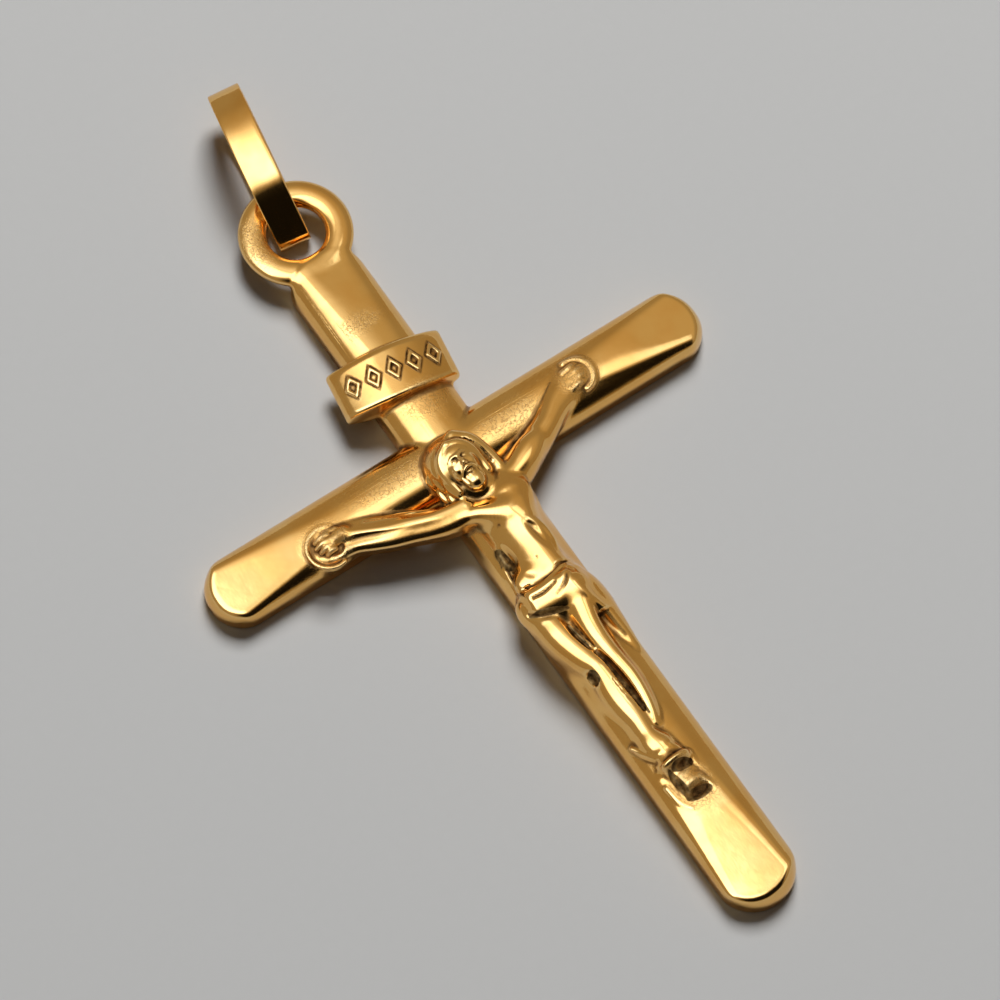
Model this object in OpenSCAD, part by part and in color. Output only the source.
// Crucifix pendant with a flat back, lying face up, and the loop that hangs it.
// Origin at the centre of the crossing, on the flat back. +Y runs to the eye, +Z out of the front.

/* [Cross] */
// Length of the crossbar from tip to tip
arm_span = 25.2; // [23:0.1:32]
// Length of the upright below the crossing
drop_len = 24.4; // [22:0.1:32]
// Length of the upright above the crossing
rise_len = 11.6; // [10.8:0.1:15]
// Width of the crossbar
arm_bar_w = 3.32; // [3.3:0.02:4]
// Width of the upright
post_w = 3.62; // [3.5:0.02:4]
// Height of the half round bars
bar_h = 1.7; // [1.5:0.05:2.1]
// Height of the straight rim below the round
rim_h = 0.4; // [0.2:0.05:0.6]
// Radius of the crossbar's round ends in plan
arm_tip_r = 1.6; // [0.8:0.05:1.6]
// Radius of the upright's round end in plan
foot_tip_r = 1.75; // [0.8:0.05:1.75]
// Height of the underside of the figure and the plate where they stand out past the cross
under_h = 0.8; // [0.4:0.05:0.9]
// Thickness left at the tips of the slanted cuts
tip_h = 1.15; // [0.8:0.05:1.4]
// Thickness left at the top end, at the eye
top_tip_h = 1.35; // [1:0.05:1.45]
// Length of the slanted cut on the left arm
left_cut = 5.2; // [3:0.1:6]
// Length of the slanted cut on the right arm
right_cut = 4.9; // [3:0.1:6]
// Length of the slanted cut at the foot
foot_cut = 7; // [4:0.1:7.5]
// Length of the slanted cut at the top
top_cut = 5.8; // [3:0.1:6.5]
// Lean of the left arm's cut towards the foot, in degrees
left_lean = 5; // [0:1:8]
// Lean of the right arm's cut towards the foot, in degrees
right_lean = 2; // [0:1:8]
// Lean of the foot's cut towards the left of the picture, in degrees
foot_lean = 8; // [0:1:10]
// Lean of the top's cut towards the right of the picture, in degrees
top_lean = 6; // [0:1:8]

/* [Title plate] */
// Width of the plate along its lower edge
plate_w = 5.5; // [4.2:0.1:6]
// Length of the plate up the post
plate_l = 2.3; // [1.6:0.1:2.6]
// Height of the plate's crest above the back
plate_h = 2.3; // [2.2:0.05:2.8]
// How much lower the plate's ends are than its crest
plate_drop = 0.95; // [0.4:0.05:1.2]
// Middle of the plate above the crossing
plate_y = 4.55; // [4.1:0.05:5.2]
// Sideways place of the plate
plate_x = -0.25; // [-0.3:0.05:0.3]
// Skew of the plate on the post, in degrees
plate_tilt = 9; // [0:1:14]
// Width of the plate's raised border
border_w = 0.28; // [0.2:0.02:0.4]
// Depth of the plate's sunk field
sunk_d = 0.14; // [0.08:0.01:0.25]
// Number of raised lozenges in the field
lozenge_count = 5; // [3:1:7]
// Length of a lozenge up the post
lozenge_l = 1.1; // [0.8:0.05:1.4]
// Gap between neighbouring lozenges
lozenge_gap = 0.25; // [0.1:0.01:0.35]

/* [Eye] */
// Radius of the eye to the middle of its band
eye_r = 1.92; // [1.8:0.02:2.4]
// Width of the eye's band, seen from above
eye_w = 1.28; // [1:0.02:1.3]
// Thickness of the eye
eye_t = 0.8; // [0.6:0.02:0.86]
// Room between the eye and the surface that the pendant lies on
eye_lift = 0.62; // [0.62:0.01:0.7]
// How far the eye's outer edge sinks into the post
eye_sink = 1.46; // [0.9:0.02:1.5]

/* [Bail] */
// Width of the bail's strip
bail_w = 1.5; // [0.9:0.05:1.55]
// Thickness of the bail's strip
bail_t = 0.3; // [0.24:0.01:0.32]
// Length of the closed bail
bail_len = 7.75; // [6.8:0.05:11]
// Height of the bail at its widest
bail_h = 3.05; // [2.8:0.05:3.8]
// Radius of the bail's narrow end, inside the eye
bail_nose_r = 0.46; // [0.44:0.01:0.6]
// Length of the bail's round part
bail_round_l = 6.5; // [5.5:0.1:6.7]
// Swing of the bail to one side, in degrees
bail_swing = 10; // [0:1:12]
// Lean of the bail towards the left of the picture, in degrees
bail_lean = 10; // [0:1:10]
// Gap between the bail's narrow end and the post side of the eye's hole
bail_gap = 0.99; // [0.5:0.01:1.1]
// Sideways place of the bail's narrow end
bail_x = -0.1; // [-0.2:0.05:0.1]

/* [Figure] */
// Width of the shoulders between the arm joints
shoulder_w = 2.7; // [2.4:0.1:3.2]
// Distance of the shoulders below the crossing
shoulder_drop = 2.5; // [2.1:0.1:2.8]
// Height of the chest above the back
chest_h = 2.75; // [2.5:0.05:3.1]
// Width of the chest
chest_w = 3.1; // [2.7:0.1:3.4]
// Distance of the waist cloth's upper edge below the crossing
cloth_drop = 7.6; // [7:0.1:8.4]
// Width of the hips in the cloth
hip_w = 3.9; // [3.5:0.05:4.2]
// Sideways place of the hips
hip_x = -0.15; // [-0.2:0.05:0.1]
// Height of the hips and the cloth
hip_h = 2.75; // [2.5:0.05:3.1]
// Distance of the cloth's lower edge below its upper edge
cloth_len = 1.6; // [1.2:0.1:2]
// Length of the cloth's hanging end
drape_len = 3; // [2:0.1:3.6]
// Width of the cloth's hanging end
drape_w = 1.3; // [1:0.1:1.6]
// Sideways place of the hanging end's top
drape_x = 0.95; // [0.8:0.05:1.1]
// Width of a thigh
thigh_w = 1.25; // [1:0.05:1.4]
// Height of the legs above the back
leg_h = 2.6; // [2.3:0.05:2.9]
// Length of the legs from the cloth to the ankles
leg_len = 7; // [6:0.1:9]
// Length of the feet below the ankles
foot_len = 0.8; // [0.6:0.05:1.1]

/* [Arms and hands] */
// Thickness of the arm on the left of the picture
left_arm_w = 1.4; // [0.9:0.05:1.6]
// Thickness of the arm on the right of the picture
right_arm_w = 1.6; // [0.9:0.05:1.7]
// Height of the arms at the shoulder
arm_h = 2.3; // [2.1:0.05:2.6]
// Distance of the left hand in from its tip of the crossbar
left_hand_inset = 5.5; // [4.5:0.1:7]
// Distance of the right hand in from its tip of the crossbar
right_hand_inset = 6.5; // [4.5:0.1:7]
// Distance of the left hand below the middle of the crossbar
left_hand_drop = 0.75; // [0:0.05:0.8]
// Distance of the right hand below the middle of the crossbar
right_hand_drop = 0; // [0:0.05:0.8]
// Length of a hand with its bent fingers
hand_l = 1.8; // [1.4:0.1:2.2]
// Height of the hands above the back
hand_h = 2.3; // [2.1:0.05:2.6]
// Turn of the left hand, in degrees
left_hand_turn = 170; // [150:5:190]
// Turn of the right hand, in degrees
right_hand_turn = 20; // [0:5:40]

/* [Head] */
// Width of the head with its hair
head_w = 2.7; // [2.3:0.1:3]
// Length of the head from the hair to the beard
head_l = 3.3; // [2.9:0.1:3.6]
// Height of the head above the back
head_h = 3.3; // [3:0.05:3.7]
// Sideways place of the head
head_x = -0.5; // [-0.8:0.05:0]
// Middle of the head below the crossing
head_drop = 1.05; // [0.8:0.05:1.4]
// Tilt of the head, in degrees
head_tilt = 8; // [0:1:15]

/* [Foot block] */
// Width of the block under the feet
block_w = 1.55; // [1.2:0.05:1.9]
// Length of the block under the feet
block_l = 2.3; // [1.8:0.1:2.6]
// Height of the block above the back
block_h = 2.2; // [2:0.05:2.5]
// Sideways place of the block
block_x = -0.24; // [-0.3:0.02:0.1]

/* [Hidden] */
gold = [0.85, 0.62, 0.24];
arc_steps = 8;
dome_steps = 20;
left_tip_x = -arm_span / 2;
right_tip_x = arm_span / 2;
shoulder_y = -shoulder_drop;
cloth_y = -cloth_drop;
hem_y = cloth_y - cloth_len;
ankle_y = hem_y - leg_len;
block_y = ankle_y - foot_len - block_l / 2;
left_hand = [left_tip_x + left_hand_inset, -left_hand_drop];
right_hand = [right_tip_x - right_hand_inset, -right_hand_drop];
eye_y = rise_len + eye_r + eye_w / 2 - eye_sink;
eye_z = eye_lift + eye_t / 2;
nose_y = eye_y - eye_r + eye_w / 2 + bail_gap;

// Slanted cuts: direction of the bar, reach from the crossing, length of the cut, thickness, lean
ENDS = [
    [0, right_tip_x, right_cut, tip_h, right_lean],
    [180, right_tip_x, left_cut, tip_h, -left_lean],
    [270, drop_len, foot_cut, tip_h, foot_lean],
    [90, rise_len, top_cut, top_tip_h, top_lean],
];

// Arm: share of the way to the hand, sag, width, wall height, crest height, lean of the crest
ARM = [
    [-0.12, -0.10, 0.80, 0.60, 0.95, 0.00],
    [0.00, -0.05, 1.20, 0.62, 1.04, 0.12],
    [0.15, 0.00, 1.08, 0.62, 1.00, 0.22],
    [0.32, 0.06, 0.98, 0.62, 0.96, 0.26],
    [0.46, 0.08, 1.06, 0.60, 0.95, 0.26],
    [0.60, 0.02, 1.02, 0.60, 0.92, 0.26],
    [0.76, -0.04, 0.86, 0.58, 0.88, 0.22],
    [0.90, -0.08, 0.74, 0.58, 0.86, 0.10],
    [1.00, -0.06, 0.80, 0.56, 0.86, 0.00],
];

// Trunk: share of the way from the shoulders to the hem, sideways shift, width, wall height, crest
TRUNK = [
    [-0.10, 0.00, 0.42, 0.60, 0.90],
    [-0.03, 0.00, 0.80, 0.62, 0.94],
    [0.06, 0.01, 1.00, 0.62, 0.97],
    [0.18, 0.01, 1.02, 0.60, 0.97],
    [0.32, 0.00, 0.98, 0.58, 0.93],
    [0.45, -0.01, 0.90, 0.56, 0.86],
    [0.58, -0.02, 0.86, 0.54, 0.82],
    [0.70, -0.02, 0.92, 0.56, 0.88],
    [0.80, -0.02, 1.04, 0.58, 0.92],
    [0.98, -0.02, 1.10, 0.58, 0.90],
];

// Chest muscle on each side: place, then size, in chest widths and chest heights, and turn
CHEST = [[0.20, -0.31, 0.85], [0.42, 0.55, 0.33], 14];

// Ribs on each side: place of both ends in chest widths and chest heights, both thicknesses
RIBS = [
    [[0.12, -0.68, 0.86], [0.38, -0.70, 0.76], 0.055, 0.045],
    [[0.12, -0.71, 0.86], [0.38, -0.86, 0.76], 0.055, 0.045],
    [[0.12, -0.74, 0.86], [0.38, -1.02, 0.76], 0.055, 0.045],
];

// Belly: place above the cloth, then size, in chest widths and chest heights
BELLY = [[-0.02, 0.24, 0.78], [0.56, 0.55, 0.27]];

// Leg: share of the way to the ankle, sideways place in thigh widths, width, wall height, crest height
FRONT_LEG = [
    [-0.14, -0.90, 1.06, 0.56, 0.90],
    [0.00, -0.88, 1.06, 0.56, 0.90],
    [0.14, -0.80, 1.00, 0.56, 0.90],
    [0.28, -0.66, 0.90, 0.56, 0.89],
    [0.38, -0.54, 0.78, 0.56, 0.90],
    [0.45, -0.50, 0.76, 0.56, 0.89],
    [0.56, -0.50, 0.78, 0.55, 0.85],
    [0.68, -0.47, 0.74, 0.54, 0.81],
    [0.80, -0.44, 0.64, 0.52, 0.78],
    [0.90, -0.46, 0.56, 0.52, 0.77],
    [0.98, -0.40, 0.58, 0.53, 0.80],
    [1.05, -0.26, 0.66, 0.54, 0.81],
    [1.11, -0.10, 0.54, 0.52, 0.77],
];
BACK_LEG = [
    [-0.14, 0.16, 1.06, 0.58, 0.93],
    [0.00, 0.12, 1.02, 0.58, 0.93],
    [0.14, 0.08, 0.92, 0.58, 0.93],
    [0.28, 0.07, 0.82, 0.59, 0.93],
    [0.38, 0.12, 0.74, 0.59, 0.92],
    [0.46, 0.17, 0.68, 0.57, 0.89],
    [0.56, 0.22, 0.60, 0.55, 0.84],
    [0.68, 0.20, 0.54, 0.54, 0.79],
    [0.80, 0.12, 0.42, 0.53, 0.74],
    [0.87, 0.02, 0.28, 0.52, 0.70],
];

// Waist cloth: share of its length, width, wall height, crest height
CLOTH = [
    [0.00, 0.88, 0.50, 0.88],
    [0.10, 0.96, 0.54, 0.97],
    [0.35, 1.00, 0.56, 0.98],
    [0.75, 1.02, 0.55, 0.98],
    [1.00, 0.98, 0.52, 0.90],
];

// Cloth end: share of its length, sideways place in its widths, width, wall height, crest height
DRAPE = [
    [-0.06, 0.00, 0.50, 0.50, 0.84],
    [0.08, 0.10, 0.80, 0.52, 0.90],
    [0.30, 0.22, 0.92, 0.50, 0.88],
    [0.60, 0.32, 0.98, 0.46, 0.84],
    [0.86, 0.34, 0.84, 0.42, 0.78],
    [1.00, 0.22, 0.50, 0.36, 0.68],
];

// Cloth folds: both ends as shares of hip width and cloth length, both heights, thickness
FOLDS = [
    [[-0.42, -0.10, 0.74], [0.23, -0.06, 0.90], 0.065],
    [[-0.44, -0.34, 0.74], [0.15, -0.40, 0.90], 0.070],
    [[-0.34, -0.86, 0.74], [0.20, -0.56, 0.90], 0.070],
];

// Hair locks: both ends in head sizes, both thicknesses
LOCKS = [
    [[-0.30, 0.28, 0.80], [-0.46, -0.10, 0.71], 0.155, 0.125],
    [[-0.44, 0.00, 0.74], [-0.56, -0.40, 0.66], 0.155, 0.125],
    [[0.30, 0.26, 0.82], [0.42, -0.08, 0.73], 0.150, 0.120],
    [[0.40, 0.00, 0.74], [0.46, -0.36, 0.66], 0.150, 0.120],
    [[-0.16, 0.36, 0.83], [0.16, 0.38, 0.75], 0.160, 0.130],
];

// Head: share of its length from the middle, width, wall height, crest height
HEAD = [
    [0.50, 0.32, 0.56, 0.66],
    [0.46, 0.60, 0.58, 0.76],
    [0.34, 0.88, 0.58, 0.86],
    [0.10, 1.00, 0.58, 0.90],
    [-0.15, 0.98, 0.56, 0.86],
    [-0.34, 0.80, 0.52, 0.78],
    [-0.46, 0.44, 0.50, 0.70],
];

// Face and beard: lengthwise place and height, then width, length and thickness
FACE = [
    [0.02, 0.77, 0.60, 0.66, 0.42],
    [-0.30, 0.76, 0.36, 0.40, 0.33],
];

// Nose, brow and moustache on each side: both ends in head sizes, both thicknesses
FEATURES = [
    [[0.00, 0.10, 0.91], [0.00, -0.08, 0.96], 0.037, 0.055],
    [[0.05, 0.10, 0.92], [0.20, 0.08, 0.87], 0.037, 0.037],
    [[0.02, -0.15, 0.91], [0.13, -0.20, 0.87], 0.044, 0.033],
];

// Palm: share of the hand's length, width, wall height, crest height
PALM = [
    [-0.50, 0.50, 0.55, 0.86],
    [-0.20, 0.72, 0.58, 0.92],
    [0.12, 0.83, 0.60, 0.92],
    [0.34, 0.72, 0.56, 0.86],
    [0.46, 0.36, 0.50, 0.76],
];

// Fingers: knuckle and tip, each along and across the hand, then thickness, as shares of its length
FINGERS = [
    [[0.04, -0.30], [0.34, -0.27], 0.22],
    [[0.04, -0.10], [0.42, -0.09], 0.24],
    [[0.04, 0.12], [0.42, 0.11], 0.24],
    [[0.04, 0.32], [0.34, 0.29], 0.22],
];

// Foot block: share of its length, width, wall height, crest height
BLOCK = [
    [0.00, 0.86, 0.70, 0.84],
    [0.06, 1.02, 0.84, 0.98],
    [0.16, 1.00, 0.85, 0.99],
    [0.34, 0.84, 0.72, 0.86],
    [0.44, 0.80, 0.72, 0.86],
    [0.58, 0.82, 0.72, 0.86],
    [0.80, 0.94, 0.60, 0.74],
    [1.00, 1.04, 0.48, 0.62],
];

function unit(v) = v / norm(v);

// Direction across a path at one of its points, to the left of its run
function across(path, i) =
    let (ahead = path[min(i + 1, len(path) - 1)], back = path[max(i - 1, 0)], run = unit(ahead - back))
    [-run.y, run.x];

// One section of a cast form: straight walls up from its underside, then an arc over the crest
function section(centre, side, half_w, wall, crest, lean) = concat(
    [for (k = [0:arc_steps])
        let (a = 180 * k / arc_steps, u = half_w * cos(a) + lean * sin(a), p = centre + side * u)
        [p.x, p.y, wall + (crest - wall) * sin(a)]],
    [for (u = [-half_w, half_w]) [centre.x + side.x * u, centre.y + side.y * u, under_h]]
);

// Skin over a row of sections that all have the same number of points
module skin(rings) {
    n = len(rings[0]);
    last = len(rings) - 1;
    polyhedron(
        points = [for (ring = rings) each ring],
        faces = concat(
            [[for (k = [0:n - 1]) k]],
            [for (i = [0:last - 1], k = [0:n - 1])
                let (a = i * n + k, b = i * n + (k + 1) % n)
                [a, a + n, b + n, b]],
            [[for (k = [0:n - 1]) last * n + n - 1 - k]]
        )
    );
}

// Cast form along a path; a row holds centre, half width, wall height, crest height and lean
module strand(rows) {
    path = [for (row = rows) row[0]];
    skin([for (i = [0:len(rows) - 1])
        section(path[i], across(path, i), rows[i][1], rows[i][2], rows[i][3], rows[i][4])]);
}

module ball(place, r) {
    translate(place) sphere(r, $fn = 12);
}

// Round ridge between two places that are shares of a size
module ridge(row, size) {
    hull() {
        ball([for (i = [0:2]) row[0][i] * size[i]], row[2] * size.x);
        ball([for (i = [0:2]) row[1][i] * size[i]], row[3] * size.x);
    }
}

// Oval swelling whose place and size are shares of a size
module swelling(place, extent, size, turn = 0) {
    translate([for (i = [0:2]) place[i] * size[i]]) rotate(turn)
        scale([for (i = [0:2]) extent[i] * size[i] / 2]) sphere(1, $fn = 18);
}

// Cross section of a bar: straight rims on the flat back and a dome over them
module bar_profile(w) {
    polygon(concat(
        [[-w / 2, 0]],
        [for (k = [0:dome_steps])
            let (a = 180 - 180 * k / dome_steps)
            [w / 2 * cos(a), rim_h + (bar_h - rim_h) * sin(a)]],
        [[w / 2, 0]]
    ));
}

module bar_plan(low, high, w, r) {
    hull() for (x = [low + r, high - r], y = [r - w / 2, w / 2 - r])
        translate([x, y]) circle(r, $fn = 32);
}

// Half round bar along X with rounded ends
module bar(low, high, w, r) {
    intersection() {
        translate([low, 0, 0]) rotate([90, 0, 90]) linear_extrude(high - low) bar_profile(w);
        linear_extrude(bar_h + 1) bar_plan(low, high, w, r);
    }
}

// Space above the slanted cut at one end
module end_cut(row) {
    slope = atan((bar_h - row[3]) / row[2]);
    rotate(row[0]) translate([row[1], 0, row[3]]) rotate([row[4], slope, 0])
        translate([-row[2] - 2, -post_w, 0]) cube([row[2] + 4, 2 * post_w, bar_h + 2]);
}

module cross_bars() {
    difference() {
        union() {
            bar(left_tip_x, right_tip_x, arm_bar_w, arm_tip_r);
            rotate(90) bar(-drop_len, rise_len, post_w, foot_tip_r);
        }
        for (row = ENDS) end_cut(row);
    }
}

// Plate section: a low arch across the post, from one side wall to the other
module plate_arch(w, h) {
    arch_r = (pow(plate_w / 2, 2) + pow(plate_drop, 2)) / (2 * plate_drop);
    intersection() {
        translate([0, h - arch_r]) circle(arch_r, $fn = 72);
        translate([-w / 2, under_h]) square([w, h + 1]);
    }
}

module plate_block(w, l, h) {
    translate([0, l / 2, 0]) rotate([90, 0, 0]) linear_extrude(l) plate_arch(w, h);
}

module title_plate() {
    field_w = plate_w - 2 * border_w;
    pitch = field_w / lozenge_count;
    lozenge_w = pitch - lozenge_gap;
    translate([plate_x, plate_y, 0]) rotate(-plate_tilt) {
        difference() {
            plate_block(plate_w, plate_l, plate_h);
            difference() {
                translate([0, 0, 1]) plate_block(field_w, plate_l - 2 * border_w, plate_h);
                plate_block(plate_w, plate_l, plate_h - sunk_d);
            }
        }
        intersection() {
            plate_block(field_w, plate_l, plate_h);
            for (i = [0:lozenge_count - 1])
                translate([(i + 0.5) * pitch - field_w / 2, 0, 0]) linear_extrude(plate_h + 1)
                    scale([lozenge_w / 2, lozenge_l / 2]) polygon([[-1, 0], [0, -1], [1, 0], [0, 1]]);
        }
    }
}

// Flattened ring that the bail passes through
module eye() {
    translate([0, eye_y, eye_z]) rotate_extrude($fn = 48)
        translate([eye_r, 0]) scale([1, eye_t / eye_w]) circle(eye_w / 2, $fn = 16);
}

module arm(shoulder, hand, w, side) {
    run = unit(hand - shoulder);
    down = [run.y, -run.x] * side;
    strand([for (row = ARM)
        let (p = shoulder + (hand - shoulder) * row[0] + down * w * row[1])
        [p, w * row[2] / 2, arm_h * row[3], arm_h * row[4], -side * w * row[5]]]);
}

module hand(place, turn) {
    translate([place.x, place.y, 0]) rotate(turn) {
        strand([for (row = PALM)
            [[row[0] * hand_l, 0], row[1] * hand_l / 2, row[2] * hand_h, row[3] * hand_h, 0]]);
        for (finger = FINGERS) {
            r = finger[2] * hand_l / 2;
            hull() {
                ball([each finger[0] * hand_l, hand_h - r], r);
                ball([each finger[1] * hand_l, hand_h - 3 * r], r);
            }
        }
    }
}

module trunk() {
    size = [chest_w, chest_w, chest_h];
    strand([for (row = TRUNK)
        [[chest_w * row[1], shoulder_y + (hem_y - shoulder_y) * row[0]],
            chest_w * row[2] / 2, chest_h * row[3], chest_h * row[4], 0]]);
    translate([0, shoulder_y, 0]) for (side = [0, 1]) mirror([side, 0, 0]) {
        swelling(CHEST[0], CHEST[1], size, CHEST[2]);
        for (rib = RIBS) ridge(rib, size);
    }
    translate([0, cloth_y, 0]) swelling(BELLY[0], BELLY[1], size);
}

module leg(table) {
    strand([for (row = table)
        [[thigh_w * row[1], hem_y + (ankle_y - hem_y) * row[0]],
            thigh_w * row[2] / 2, leg_h * row[3], leg_h * row[4], 0]]);
}

module waist_cloth() {
    size = [hip_w, cloth_len, hip_h];
    strand([for (row = CLOTH)
        [[hip_x, cloth_y - cloth_len * row[0]], hip_w * row[1] / 2, hip_h * row[2], hip_h * row[3], 0]]);
    translate([0, cloth_y, 0]) for (fold = FOLDS) ridge([each fold, fold[2]], size);
    strand([for (row = DRAPE)
        [[drape_x + drape_w * row[1], cloth_y - drape_len * row[0]],
            drape_w * row[2] / 2, hip_h * row[3], hip_h * row[4], 0]]);
}

module foot_block() {
    strand([for (row = BLOCK)
        [[block_x, block_y + block_l * (0.5 - row[0])],
            block_w * row[1] / 2, block_h * row[2], block_h * row[3], 0]]);
}

module head() {
    size = [head_w, head_l, head_h];
    translate([head_x, -head_drop, 0]) rotate(head_tilt) {
        strand([for (row = HEAD)
            [[0, row[0] * head_l], row[1] * head_w / 2, row[2] * head_h, row[3] * head_h, 0]]);
        for (form = FACE) swelling([0, form[0], form[1]], [form[2], form[3], form[4]], size);
        for (side = [0, 1]) mirror([side, 0, 0]) for (row = FEATURES) ridge(row, size);
        for (lock = LOCKS) ridge(lock, size);
    }
}

// The cross and the figure, one piece of gold with a flat back
module crucifix() {
    color(gold) {
        cross_bars();
        title_plate();
        eye();
        foot_block();
        arm([-shoulder_w / 2, shoulder_y], left_hand, left_arm_w, -1);
        arm([shoulder_w / 2, shoulder_y], right_hand, right_arm_w, 1);
        hand(left_hand, left_hand_turn);
        hand(right_hand, right_hand_turn);
        trunk();
        leg(BACK_LEG);
        leg(FRONT_LEG);
        waist_cloth();
        head();
    }
}

// Side view of the bail: a narrow nose, a flat flank on the ground and a long round tail
module bail_side(inset) {
    hull() {
        translate([bail_nose_r, bail_nose_r]) circle(bail_nose_r - inset, $fn = 48);
        translate([bail_len - bail_round_l / 2, bail_h / 2])
            scale([bail_round_l / 2 - inset, bail_h / 2 - inset]) circle(1, $fn = 72);
    }
}

// Closed loop of flat strip that passes through the eye and leans on the ground beside it
module bail() {
    color(gold) translate([bail_x, nose_y, bail_w / 2 * sin(bail_lean)])
        rotate(-bail_swing) rotate([0, -bail_lean, 0]) rotate([90, 0, 90])
            translate([0, 0, -bail_w / 2]) linear_extrude(bail_w)
                difference() {
                    bail_side(0);
                    bail_side(bail_t);
                }
}

crucifix();
bail();
